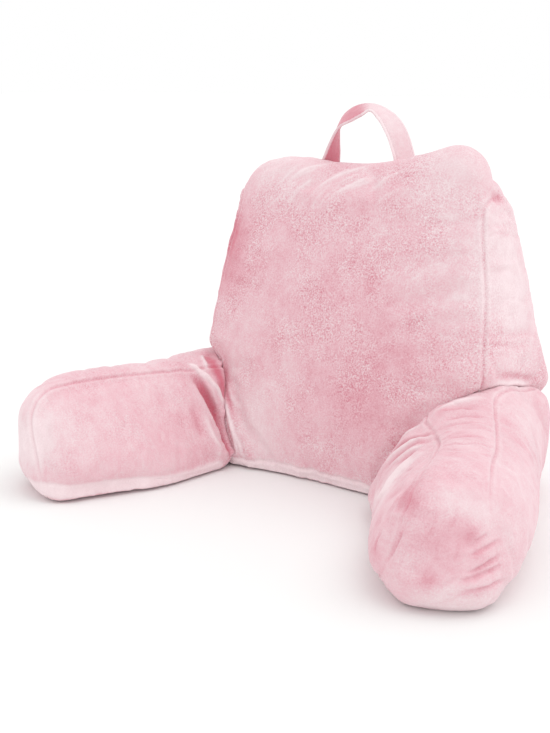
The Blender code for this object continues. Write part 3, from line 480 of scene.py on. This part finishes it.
TUCKS = {
    # a cover rounds off near its neighbour: height, within this distance, by this much
    # where they meet, and how much painted shade darkens it there
    "backrest": ((0.0, 0.010, 0.0005, 0.05), (0.2, 0.010, 0.0004, 0.05)),
    "arm_left": (
        (0.000, 0.006, 0.0012, 0.30), (0.030, 0.007, 0.0016, 0.60),
        (0.070, 0.008, 0.0012, 0.70), (0.100, 0.008, 0.0000, 0.60),
        (0.125, 0.008, -0.0005, 0.50), (0.150, 0.008, -0.0005, 0.40),
    ),
    "arm_right": (
        (0.000, 0.012, 0.0040, 0.50), (0.040, 0.012, 0.0040, 0.90),
        (0.110, 0.012, 0.0026, 0.80), (0.140, 0.008, 0.0000, 0.20),
        (0.160, 0.008, -0.0006, 0.00),
    ),
}

# Colours of the pile, linear; the palest stop also serves the painted highlights and the deepest the
# painted shade in folds.
SHADES = (
    # rose, colour
    (-0.40, (0.950, 0.798, 0.820)),
    (0.00, (0.855, 0.682, 0.709)),
    (0.50, (0.800, 0.490, 0.543)),
    (1.00, (0.695, 0.300, 0.360)),
    (1.40, (0.670, 0.195, 0.255)),
)

# Camera and studio.
CAMERA_PLACE = (0.875, -1.320, 0.586)
CAMERA_TURN = 35.318
CAMERA_DIP = 14.255
CAMERA_LENS = 57.79


# ---------------------------------------------------------------- mesh helpers
def smooth_step(low, high, value):
    """0 below low and 1 above high, smooth between; works on arrays."""
    t = np.clip((value - low) / (high - low), 0.0, 1.0)
    return t * t * (3.0 - 2.0 * t)


def coordinates(mesh):
    """Vertex positions as an array."""
    co = np.empty(len(mesh.vertices) * 3)
    mesh.vertices.foreach_get("co", co)
    return co.reshape(-1, 3)


def normals(mesh):
    """Vertex normals as an array."""
    out = np.empty(len(mesh.vertices) * 3)
    mesh.vertices.foreach_get("normal", out)
    return out.reshape(-1, 3)


def put_coordinates(mesh, co):
    """Write vertex positions back."""
    mesh.vertices.foreach_set("co", co.ravel())
    mesh.update()


def edge_ends(mesh):
    """The two vertices of every edge."""
    ends = np.empty(len(mesh.edges) * 2, dtype=np.int64)
    mesh.edges.foreach_get("vertices", ends)
    return ends.reshape(-1, 2)


def neighbour_mean(values, ends):
    """Mean of each vertex's neighbours; values is an array of rows."""
    count = len(values)
    degree = np.bincount(ends.ravel(), minlength=count).clip(1)
    out = np.empty_like(values)
    for axis in range(values.shape[1]):
        total = np.bincount(ends[:, 0], values[ends[:, 1], axis], count)
        total += np.bincount(ends[:, 1], values[ends[:, 0], axis], count)
        out[:, axis] = total / degree
    return out


def relax(co, ends, rounds, weight=1.0):
    """Smooth without shrinking: each round pulls in and then pushes back out."""
    for _ in range(rounds):
        co = co + 0.50 * weight * (neighbour_mean(co, ends) - co)
        co = co - 0.52 * weight * (neighbour_mean(co, ends) - co)
    return co


def tree_of(mesh):
    """A search tree of a mesh's faces."""
    return BVHTree.FromPolygons(
        [v.co.copy() for v in mesh.vertices], [tuple(p.vertices) for p in mesh.polygons]
    )


def smooth_line(points, closed=False, step=0.001):
    """Points every step along a smooth curve through the given ones."""
    p = np.array(points, float)
    n = len(p)
    out = []
    for i in range(n if closed else n - 1):
        if closed:
            a, b, c, d = p[i - 1], p[i], p[(i + 1) % n], p[(i + 2) % n]
        else:
            a, b, c, d = p[max(i - 1, 0)], p[i], p[i + 1], p[min(i + 2, n - 1)]
        # spacing-aware tangents keep the curve from looping at tight corners
        ab, bc, cd = (max(np.linalg.norm(v), 1e-6) for v in (b - a, c - b, d - c))
        into = ((b - a) / ab * bc + (c - b) / bc * ab) / (ab + bc) * bc
        off = ((c - b) / bc * cd + (d - c) / cd * bc) / (bc + cd) * bc
        if not closed and i == 0:
            into = c - b
        if not closed and i == n - 2:
            off = c - b
        count = max(int(math.ceil(bc / step)), 1)
        t = np.linspace(0, 1, count, endpoint=False)[:, None]
        out.append(
            (2 * t**3 - 3 * t**2 + 1) * b + (t**3 - 2 * t**2 + t) * into
            + (3 * t**2 - 2 * t**3) * c + (t**3 - t**2) * off
        )
    if not closed:
        out.append(p[-1:])
    return np.vstack(out)


def on_surface(line, tree, reach=0.012):
    """The line's points dropped on a surface; those too far from it are left out."""
    out = []
    for point in line:
        place, normal, _, distance = tree.find_nearest(Vector(point))
        if place is not None and distance < reach:
            out.append(place)
    return np.array(out)


def nearest_on(line, co):
    """For every vertex: distance to the line's nearest point, and that point's index."""
    tree = KDTree(len(line))
    for i, point in enumerate(line):
        tree.insert(point, i)
    tree.balance()
    found = [tree.find(c) for c in co]
    return np.array([f[2] for f in found]), np.array([f[1] for f in found])


# ---------------------------------------------------------------- cushions
def welded_copy(node, name):
    """A new object with the CAD node's mesh, its split vertices joined."""
    shape = bmesh.new()
    shape.from_mesh(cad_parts[node].data)
    bmesh.ops.remove_doubles(shape, verts=shape.verts, dist=1e-5)
    mesh = bpy.data.meshes.new(name)
    shape.to_mesh(mesh)
    shape.free()
    item = bpy.data.objects.new(name, mesh)
    bpy.context.scene.collection.objects.link(item)
    return item


def bake_modifiers(item):
    """Replace an object's mesh by what its modifiers make of it, and remove them."""
    graph = bpy.context.evaluated_depsgraph_get()
    made = bpy.data.meshes.new_from_object(item.evaluated_get(graph), depsgraph=graph)
    item.modifiers.clear()
    old = item.data
    name = old.name
    item.data = made
    bpy.data.meshes.remove(old)
    made.name = name


def remeshed(item, voxel):
    """An even mesh of quads over the same solid."""
    modifier = item.modifiers.new("Even", "REMESH")
    modifier.mode = "VOXEL"
    modifier.voxel_size = voxel
    solid = tree_of(item.data)
    bake_modifiers(item)
    mesh = item.data
    ends = edge_ends(mesh)
    co = relax(coordinates(mesh), ends, 12)
    for rounds in (5, 2):
        back = np.array([solid.find_nearest(Vector(c))[0] for c in co]) - co
        for _ in range(rounds):
            back = neighbour_mean(back, ends)
        co = co + back
    put_coordinates(mesh, co)


def contact(co, others, reach):
    """Vertices that lie against a neighbouring solid."""
    touching = np.zeros(len(co), bool)
    for tree in others:
        for i, c in enumerate(co):
            if not touching[i]:
                touching[i] = tree.find_nearest(Vector(c), reach)[0] is not None
    return touching


def fill(item, pinned, slack, cap):
    """How a cover moves when it is filled by pressure, held where it is pinned."""
    start = coordinates(item.data)
    group = item.vertex_groups.new(name="held")
    group.add([int(i) for i in np.nonzero(pinned)[0]], 1.0, "REPLACE")
    cloth = item.modifiers.new("Filling", "CLOTH")
    cloth.settings.quality = 4
    cloth.settings.mass = 0.25
    cloth.settings.tension_stiffness = 12
    cloth.settings.compression_stiffness = 12
    cloth.settings.shear_stiffness = 4
    cloth.settings.bending_stiffness = 0.25
    cloth.settings.use_pressure = True
    cloth.settings.uniform_pressure_force = 4.0
    cloth.settings.effector_weights.gravity = 0.0
    cloth.settings.vertex_group_mass = group.name
    cloth.settings.shrink_min = -slack
    cloth.point_cache.frame_start = 1
    cloth.point_cache.frame_end = 20
    for number in range(1, 21):
        bpy.context.scene.frame_set(number)
    graph = bpy.context.evaluated_depsgraph_get()
    filled = item.evaluated_get(graph).to_mesh()
    end = coordinates(filled)
    item.evaluated_get(graph).to_mesh_clear()
    item.modifiers.clear()
    item.vertex_groups.clear()
    bpy.context.scene.frame_set(1)
    move = end - start
    length = np.linalg.norm(move, axis=1, keepdims=True).clip(1e-9)
    return move * np.minimum(1.0, cap / length)


def wrinkles(move, ends):
    """The short waves of a movement, without its long ones."""
    slow = move
    for _ in range(WRINKLE_ROUNDS):
        slow = neighbour_mean(slow, ends)
    return WRINKLE_GAIN * (move - slow)


def refine(item, close):
    """Halve the faces all of whose corners are marked close."""
    shape = bmesh.new()
    shape.from_mesh(item.data)
    shape.verts.ensure_lookup_table()
    edges = [e for e in shape.edges if close[e.verts[0].index] and close[e.verts[1].index]]
    bmesh.ops.subdivide_edges(shape, edges=edges, cuts=1, use_grid_fill=True)
    bmesh.ops.triangulate(shape, faces=[f for f in shape.faces if len(f.verts) > 4])
    shape.to_mesh(item.data)
    shape.free()


def ripple(place, size, seed):
    """Smooth noise from -1 to 1 at one place."""
    return noise.noise(Vector(place) / size + Vector((seed, 1.7 * seed, 0.3)))


def carve_seams(co, out, lines, rose):
    """Groove the seams, raise a ridge each side, and gather the cloth beside them."""
    shown = np.ones(len(co))
    for centre, radius, lost in SUNK:
        shown *= 1.0 - lost * np.exp(-((co - np.array(centre)) ** 2).sum(1) / radius**2)
    for number, line in enumerate(lines):
        distance, index = nearest_on(line, co)
        along = index * 0.001
        groove = -SEAM_DEPTH * np.exp(-((distance / SEAM_WIDTH) ** 2))
        ridge = SEAM_RIDGE * np.exp(-(((distance - RIDGE_PLACE) / RIDGE_WIDTH) ** 2))
        gather = np.zeros(len(co))
        near = np.nonzero(distance < 0.045)[0]
        for i in near:
            fade = math.exp(-distance[i] / 0.016) * min(distance[i] / 0.004, 1.0)
            wave = ripple((along[i], 0.25 * distance[i], number), 0.0085, 3.0 + number)
            slow = 0.5 + 0.9 * ripple((along[i], 0.0, number), 0.06, 9.0 + number)
            gather[i] = 0.0022 * fade * wave * max(slow, 0.1)
        co += out * ((groove + ridge + gather) * shown)[:, None]
        # painted shade along the seam's groove and a painted highlight on the ridge beside it
        rose += 0.14 * shown * np.exp(-((distance / 0.0016) ** 2))
        rose -= 0.14 * shown * np.exp(-(((distance - 0.0045) / 0.0025) ** 2))


def scattered(node):
    """The strokes of one piece, as rows like those of the folds."""
    draw = random.Random(len(node))
    rows = []
    for piece, count, corner, side, rise, run, half, relief, shade in STROKES:
        if piece != node:
            continue
        for _ in range(count):
            middle = Vector(corner) + Vector(side) * draw.random() + Vector(rise) * draw.random()
            reach = Vector(run) * draw.uniform(0.3, 0.8)
            sway = reach.cross(Vector(rise).cross(Vector(side))).normalized()
            reach += sway * reach.length * draw.uniform(-0.25, 0.25)
            bend = sway * reach.length * draw.uniform(-0.12, 0.12)
            line = (middle - reach, middle + bend, middle + reach)
            size = draw.uniform(0.5, 1.2)
            rows.append((node, half * size, relief * size, shade * size, 0.0, line))
    return rows


def press_folds(node, co, out, tree, rose):
    """Press in a piece's folds and raise its ridges, with painted shade in the folds and painted
    highlights on the ridges.
    """
    for piece, half, relief, shade, lean, points in (*FOLDS, *scattered(node)):
        if piece not in (node, "any"):
            continue
        line = on_surface(smooth_line(points), tree, 0.012 if piece == "any" else 0.03)
        if len(line) < 3:
            continue
        low, high = line.min(0) - 4 * half, line.max(0) + 4 * half
        near = np.nonzero(np.all((co > low) & (co < high), axis=1))[0]
        if not len(near):
            continue
        gap = co[near][:, None, :] - line[None, :, :]
        squared = (gap**2).sum(2)
        index = squared.argmin(1)
        distance = np.sqrt(squared[np.arange(len(near)), index])
        ahead = line[np.minimum(index + 1, len(line) - 1)] - line[np.maximum(index - 1, 0)]
        side = np.cross(ahead, out[near])
        side /= np.linalg.norm(side, axis=1, keepdims=True).clip(1e-9)
        signed = (gap[np.arange(len(near)), index] * side).sum(1)
        width = half * (1.0 + lean * np.tanh(signed / half))
        share = index / max(len(line) - 1, 1)
        taper = smooth_step(0.0, 0.35, share) * smooth_step(0.0, 0.35, 1.0 - share)
        beyond = np.sqrt(np.maximum(distance**2 - signed**2, 0.0))
        shape = np.exp(-((signed / width) ** 2) - (beyond / half) ** 2) * taper
        shoulder = np.exp(-(((np.abs(signed) - 1.8 * half) / (0.8 * half)) ** 2)) * taper
        shoulder *= np.exp(-((beyond / half) ** 2))
        co[near] += out[near] * (relief * (shape - 0.18 * shoulder))[:, None]
        # painted shade in the folds' hollows, a painted highlight on ridges where the shade is
        # negative
        rose[near] += shade * shape


def tuck(node, co, out, rose):
    """Round a cover off where it meets a neighbouring solid, darkening it there with painted shade.
    """
    heights, reaches, depths, painted_shades = np.array(TUCKS[node]).T
    for other, tree in solid_trees.items():
        if other == node or "arm" in node and "arm" in other:
            continue
        for i, c in enumerate(co):
            place, normal, _, distance = tree.find_nearest(Vector(c), max(reaches))
            if place is None:
                continue
            reach = np.interp(c[2], heights, reaches)
            share = max(1.0 - distance / reach, 0.0) ** 2
            direction = out[i]
            if node != "backrest":
                away = np.array(normal)
                direction = out[i] - away * out[i].dot(away)
            co[i] -= direction * share * np.interp(c[2], heights, depths)
            # painted shade in the crevice between the pieces
            rose[i] += share * np.interp(c[2], heights, painted_shades)


def mottle_and_painted_light(co):
    """How rose each vertex is before seams and folds: the pile's uneven tone and noise, with painted
    shade and painted highlights from the patch table.
    """
    rose = np.full(len(co), 0.41)
    for centre, radius, amount in MOTTLE_AND_PAINTED_LIGHT:
        distance = np.linalg.norm(co - np.array(centre), axis=1)
        # patches of painted shade and painted highlight, with some of the pile's own uneven tone
        rose += 0.62 * amount * np.exp(-((distance / radius) ** 2))
    for i, c in enumerate(co):
        drift = Vector((ripple(c, 0.05, 21), ripple(c, 0.05, 22), ripple(c, 0.05, 23)))
        spot = Vector(c) + drift * 0.02
        rose[i] += 0.12 * ripple(spot, 0.070, 31) + 0.10 * ripple(spot, 0.022, 32)
    return rose


def lay_strips(node, co, tree, rose):
    """Strips of cloth along the floor, upright down to it, made pale by a painted highlight."""
    for piece, half, spread, height, power, reach, (east, north), shade, points in STRIPS:
        if piece == node:
            distance = nearest_on(on_surface(smooth_line(points), tree, 0.03), co)[0]
            # painted highlight along the strip
            rose += shade * smooth_step(1.5 * half, 0.7 * half, distance)
            low = np.maximum(1.0 - co[:, 2] / height, 0.0) ** power
            move = spread * low * np.exp(-((distance / reach) ** 4))
            co += move[:, None] * np.array((east, north, 0.0))


def swell(node, co):
    """Shift parts of a cover by the table of swells."""
    for piece, centre, radius, shift in SWELLS:
        if piece == node:
            squared = ((co - np.array(centre)) ** 2).sum(1)
            co += np.exp(-squared / radius**2)[:, None] * np.array(shift)
    co[:, 2] = np.maximum(co[:, 2], 0.0)


def write_rose(item, rose):
    """Keep the rose value on the mesh for the material: the pile's tone with painted shade and
    painted highlights.
    """
    layer = item.data.attributes.new("rose", "FLOAT", "POINT")
    layer.data.foreach_set("value", np.clip(rose, -0.3, 1.4).astype(np.float32))


def make_cushion(node, name, voxel, inset, slack, seams):
    """One filled piece of the pillow, from its CAD solid."""
    item = welded_copy(node, name)
    remeshed(item, voxel)
    mesh = item.data
    co = coordinates(mesh)
    swell(node, co)
    put_coordinates(mesh, co)
    out = normals(mesh)
    tree = tree_of(mesh)
    lines = [on_surface(smooth_line(SEAMS[key], closed=True), tree) for key in seams]
    from_seam = np.min([nearest_on(line, co)[0] for line in lines], axis=0)
    others = [solid_trees[other] for other in solid_trees if other != node]
    touching = contact(co, others, 0.004)
    resting = (co[:, 2] < 0.004) & (out[:, 2] < -0.5)
    pinned = (from_seam < 0.6 * voxel) | touching | resting
    free = smooth_step(0.0, 0.025, from_seam) * ~(touching | resting)
    free = neighbour_mean(free[:, None], edge_ends(mesh))[:, 0]
    put_coordinates(mesh, co - out * (inset * free)[:, None])
    moved = fill(item, pinned, slack, 0.022) * free[:, None]
    put_coordinates(mesh, co + wrinkles(moved, edge_ends(mesh)))
    modifier = item.modifiers.new("Finer", "SUBSURF")
    modifier.levels = 1
    modifier.render_levels = 1
    bake_modifiers(item)
    mesh = item.data
    tree = tree_of(mesh)
    lines = [on_surface(smooth_line(SEAMS[key], closed=True), tree) for key in seams]
    if node == "backrest":
        lines.append(on_surface(smooth_line(FOOT_SEAM), tree))
    sharp = [on_surface(smooth_line(row[5], step=0.004), tree, 0.03)
             for row in FOLDS if row[0] == node and row[1] < 0.0055]
    co = coordinates(mesh)
    close = nearest_on(np.vstack(lines + sharp), co)[0] < FINE_REACH
    close |= contact(co, others, 0.013) & ~contact(co, others, 0.001)
    refine(item, close)
    mesh = item.data
    co, out = coordinates(mesh), normals(mesh)
    out = neighbour_mean(neighbour_mean(out, edge_ends(mesh)), edge_ends(mesh))
    out /= np.linalg.norm(out, axis=1, keepdims=True).clip(1e-9)
    rose = mottle_and_painted_light(co)
    tuck(node, co, out, rose)
    press_folds(node, co, out, tree, rose)
    carve_seams(co, out, lines, rose)
    lay_strips(node, co, tree, rose)
    co[:, 2] = np.maximum(co[:, 2], 0.0)
    put_coordinates(mesh, co)
    mesh.shade_smooth()
    write_rose(item, rose)
    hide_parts(node)
    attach(item, "root")
    return item


def fit_against(item, neighbour):
    """Lay a piece's touching face against its neighbour, and keep the rest out of it."""
    tree = tree_of(neighbour.data)
    co = coordinates(item.data)
    for i, c in enumerate(co):
        place, normal, _, distance = tree.find_nearest(Vector(c), 0.03)
        if place is None:
            continue
        depth = (Vector(c) - place).dot(normal)
        down = 1.0 - smooth_step(0.001, FIT_REACH, depth)
        co[i] = Vector(c).lerp(place + normal * CLEAR, down)
    co[:, 2] = np.maximum(co[:, 2], 0.0)
    put_coordinates(item.data, co)


# ---------------------------------------------------------------- strap
def read_rows(rows, column, key):
    """A column of a table at a key, on a smooth curve through its rows."""
    keys = [row[0] for row in rows]
    low = min(max(sum(k <= key for k in keys) - 1, 0), len(rows) - 2)
    a, b = rows[max(low - 1, 0)], rows[low]
    c, d = rows[low + 1], rows[min(low + 2, len(rows) - 1)]
    span = c[0] - b[0]
    t = (key - b[0]) / span
    into = (c[column] - a[column]) / (c[0] - a[0]) * span
    off = (d[column] - b[column]) / (d[0] - b[0]) * span
    return (
        (2 * t**3 - 3 * t**2 + 1) * b[column] + (t**3 - 2 * t**2 + t) * into
        + (3 * t**2 - 2 * t**3) * c[column] + (t**3 - t**2) * off
    )


def strap_edge(column, y, tree):
    """Points along one edge of the strap, from where it leaves the cover to where it ends."""
    def point(key):
        return Vector((read_rows(STRAP_ROWS, column, key), y,
                       read_rows(STRAP_ROWS, column + 1, key)))

    def height(key):
        place, normal, _, _ = tree.find_nearest(point(key))
        return (point(key) - place).dot(normal)

    keys = np.linspace(0.0, 1.0, 401)
    outside = [key for key in keys if height(key) > STRAP_BURY]
    return np.array([point(key) for key in np.linspace(outside[0], outside[-1], STRAP_STEPS + 1)])


def make_strap(cover):
    """The carrying strap: a flat folded band with a stitched line along each edge."""
    near = strap_edge(1, STRAP_NEAR, cover)
    far = strap_edge(3, STRAP_FAR, cover)
    shape = bmesh.new()
    rings = []
    rose_values = []
    run = 0.0
    for i in range(STRAP_STEPS + 1):
        low, high = max(i - 1, 0), min(i + 1, STRAP_STEPS)
        ahead = (near[high] + far[high]) - (near[low] + far[low])
        across = far[i] - near[i]
        width = np.linalg.norm(across)
        up = np.cross(ahead, across)
        up /= np.linalg.norm(up)
        run += np.linalg.norm(ahead) / (2 * max(high - low, 1))
        ring = []
        for face in (1, -1):
            for j in range(STRAP_COLUMNS + 1):
                v = j / STRAP_COLUMNS
                v = v if face > 0 else 1 - v
                from_edge = min(v, 1 - v) * width
                round_off = math.sqrt(max(1 - (1 - min(from_edge / 0.0016, 1.0)) ** 2, 0.0))
                puff = 0.35 * STRAP_THICK * math.sin(math.pi * v)
                stitch = math.exp(-(((from_edge - STITCH_INSET) / 0.0007) ** 2))
                pucker = math.sin(run / 0.0034 * math.pi) * math.exp(
                    -(((from_edge - STITCH_INSET) / 0.0016) ** 2)
                )
                wave = 0.0005 * ripple((run, v * width, 0.0), 0.012, 41)
                thick = (0.5 * STRAP_THICK + puff) * round_off
                thick -= 0.0008 * stitch + 0.00025 * pucker
                if face < 0 and j in (0, STRAP_COLUMNS):
                    continue
                spot = near[i] + across * v + up * (face * max(thick, 0.0002) + wave)
                ring.append(shape.verts.new(spot))
                rose_values.append((face, stitch, from_edge, i / STRAP_STEPS))
        rings.append(ring)
    count = len(rings[0])
    for first, second in zip(rings, rings[1:]):
        for k in range(count):
            n = (k + 1) % count
            shape.faces.new((first[k], first[n], second[n], second[k]))
    shape.faces.new(rings[0][::-1])
    shape.faces.new(rings[-1])
    bmesh.ops.recalc_face_normals(shape, faces=shape.faces)
    bmesh.ops.triangulate(shape, faces=[f for f in shape.faces if len(f.verts) > 4])
    mesh = bpy.data.meshes.new("strap_band")
    shape.to_mesh(mesh)
    shape.free()
    mesh.shade_smooth()
    item = bpy.data.objects.new("strap_band", mesh)
    bpy.context.scene.collection.objects.link(item)
    # painted shade on the strap's underside and on its leg turned from the light, a painted
    # highlight on the lit part and along the rounded edges, and darker along the stitched lines
    rose = np.array([
        (1.25 if face < 0 else 1.25 - 1.15 * smooth_step(0.56, 0.68, share))
        + 0.30 * stitch - 1.1 * math.exp(-((from_edge / 0.0042) ** 4))
        for face, stitch, from_edge, share in rose_values
    ])
    write_rose(item, rose)
    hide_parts("handle")
    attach(item, "root")
    return item


# ---------------------------------------------------------------- materials
def plush(name, streak, grain=1.0):
    """Short plush coloured by the rose value, which holds the pile's uneven tone with painted shade
    and painted highlights, and grained by noise.
    """
    material = bpy.data.materials.new(name)
    material.use_nodes = True
    tree = material.node_tree
    nodes, links = tree.nodes, tree.links
    shader = nodes["Principled BSDF"]

    def node(kind, **settings):
        made = nodes.new(kind)
        for key, value in settings.items():
            setattr(made, key, value)
        return made

    def math_node(operation, a, b):
        made = node("ShaderNodeMath", operation=operation)
        for socket, value in zip(made.inputs, (a, b)):
            if isinstance(value, (int, float)):
                socket.default_value = value
            else:
                links.new(value, socket)
        return made.outputs[0]

    def noise_of(vector, scale, detail, rough=0.55):
        made = node("ShaderNodeTexNoise")
        made.inputs["Scale"].default_value = scale
        made.inputs["Detail"].default_value = detail
        made.inputs["Roughness"].default_value = rough
        links.new(vector, made.inputs["Vector"])
        return made.outputs["Fac"]

    place = node("ShaderNodeTexCoord").outputs["Object"]
    stretched = node("ShaderNodeMapping")
    stretched.inputs["Scale"].default_value = streak
    links.new(place, stretched.inputs["Vector"])

    rose = node("ShaderNodeAttribute", attribute_name="rose").outputs["Fac"]
    clumps = noise_of(place, 460.0, 2.0, 0.6)
    wisps = noise_of(stretched.outputs["Vector"], 110.0, 3.0, 0.6)
    pile = noise_of(place, 620.0, 2.0, 0.6)
    clouds = noise_of(place, 24.0, 4.0, 0.6)

    def mapped(field, *ends):
        made = node("ShaderNodeMapRange")
        for key, value in zip(("From Min", "From Max", "To Min", "To Max"), ends):
            made.inputs[key].default_value = value
        links.new(field, made.inputs["Value"])
        return made.outputs[0]

    ruffled = mapped(noise_of(place, 15.0, 3.0), 0.42, 0.60, 0.35, 1.0)
    grain_by_rose = mapped(rose, 0.05, 0.40, 0.40, 1.0)
    ruffle = math_node("MULTIPLY", math_node("SUBTRACT", clumps, 0.5), ruffled)
    ruffle = math_node("MULTIPLY", ruffle, grain_by_rose)
    shade = math_node("ADD", rose, math_node("MULTIPLY", ruffle, 2.4 * grain))
    for field, share in ((wisps, 0.45), (pile, 0.5), (clouds, 0.5)):
        shift = math_node("MULTIPLY", math_node("SUBTRACT", field, 0.5), share)
        shade = math_node("ADD", shade, shift)
    low, high = SHADES[0][0], SHADES[-1][0]
    ramp = node("ShaderNodeValToRGB")
    ramp.color_ramp.interpolation = "LINEAR"
    stops = ramp.color_ramp.elements
    stops[1].position = 1.0
    for value, _ in SHADES[1:-1]:
        stops.new((value - low) / (high - low))
    for stop, (_, colour) in zip(stops, SHADES):
        stop.color = (*colour, 1.0)
    share = math_node("DIVIDE", math_node("SUBTRACT", shade, low), high - low)
    links.new(share, ramp.inputs["Fac"])
    links.new(ramp.outputs["Color"], shader.inputs["Base Color"])

    coarse = node("ShaderNodeBump")
    coarse.inputs["Strength"].default_value = 0.60
    coarse.inputs["Distance"].default_value = 0.0014
    links.new(math_node("ADD", ruffle, wisps), coarse.inputs["Height"])
    fine = node("ShaderNodeBump")
    fine.inputs["Strength"].default_value = 0.30
    fine.inputs["Distance"].default_value = 0.0005
    links.new(pile, fine.inputs["Height"])
    links.new(coarse.outputs["Normal"], fine.inputs["Normal"])
    links.new(fine.outputs["Normal"], shader.inputs["Normal"])

    shader.inputs["Roughness"].default_value = 0.85
    shader.inputs["Specular IOR Level"].default_value = 0.15
    shader.inputs["Sheen Weight"].default_value = 0.55
    shader.inputs["Sheen Roughness"].default_value = 0.45
    shader.inputs["Sheen Tint"].default_value = (1.0, 0.86, 0.89, 1.0)
    return material


def dress(item, material):
    """Give a piece its only material."""
    item.data.materials.clear()
    item.data.materials.append(material)


# ---------------------------------------------------------------- studio
def make_floor():
    """A wide pale floor."""
    shape = bmesh.new()
    bmesh.ops.create_grid(shape, x_segments=2, y_segments=2, size=20.0)
    mesh = bpy.data.meshes.new("studio_floor")
    shape.to_mesh(mesh)
    shape.free()
    item = bpy.data.objects.new("studio_floor", mesh)
    bpy.context.scene.collection.objects.link(item)
    material = bpy.data.materials.new("studio_paper")
    material.use_nodes = True
    shader = material.node_tree.nodes["Principled BSDF"]
    shader.inputs["Base Color"].default_value = (0.905, 0.918, 0.908, 1.0)
    shader.inputs["Roughness"].default_value = 0.95
    shader.inputs["Specular IOR Level"].default_value = 0.0
    mesh.materials.append(material)


def sun(name, towards, strength, spread):
    """A soft far light; towards points from the pillow to the light."""
    light = bpy.data.lights.new(name, "SUN")
    light.energy = strength
    light.angle = math.radians(spread)
    item = bpy.data.objects.new(name, light)
    bpy.context.scene.collection.objects.link(item)
    item.location = Vector(towards) * 4.0
    item.rotation_euler = Vector(towards).to_track_quat("Z", "Y").to_euler()


def make_studio():
    """Camera, floor, soft lights and a white surround."""
    camera = bpy.data.cameras.new("studio_camera")
    camera.lens = CAMERA_LENS
    camera.sensor_width = 36.0
    item = bpy.data.objects.new("studio_camera", camera)
    bpy.context.scene.collection.objects.link(item)
    item.location = CAMERA_PLACE
    item.rotation_euler = (math.radians(90 - CAMERA_DIP), 0.0, math.radians(CAMERA_TURN))
    bpy.context.scene.camera = item
    make_floor()
    sun("key", (0.36, 0.17, 0.92), 0.57, 50.0)
    world = bpy.data.worlds.new("studio_surround")
    world.use_nodes = True
    sky = world.node_tree.nodes["Background"]
    sky.inputs["Color"].default_value = (1.0, 1.0, 1.0, 1.0)
    sky.inputs["Strength"].default_value = 1.0
    bpy.context.scene.world = world
    bpy.context.scene.view_settings.view_transform = "Standard"


# ---------------------------------------------------------------- making
solid_trees = {}
for node_name in ("backrest", "arm_left", "arm_right"):
    solid_trees[node_name] = tree_of(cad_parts[node_name].data)

made = {row[0]: make_cushion(*row) for row in CUSHIONS}
fit_against(made["arm_left"], made["backrest"])
fit_against(made["arm_right"], made["backrest"])
strap = make_strap(tree_of(made["backrest"].data))

dress(made["backrest"], plush("plush_front", (1.0, 1.0, 0.7), 1.30))
dress(made["arm_left"], plush("plush_bolster", (1.0, 1.0, 0.4), 0.6))
dress(made["arm_right"], plush("plush_bolster_near", (0.5, 1.0, 1.0), 0.35))
dress(strap, plush("plush_strap_cloth", (1.0, 1.0, 1.0), 0.2))
make_studio()
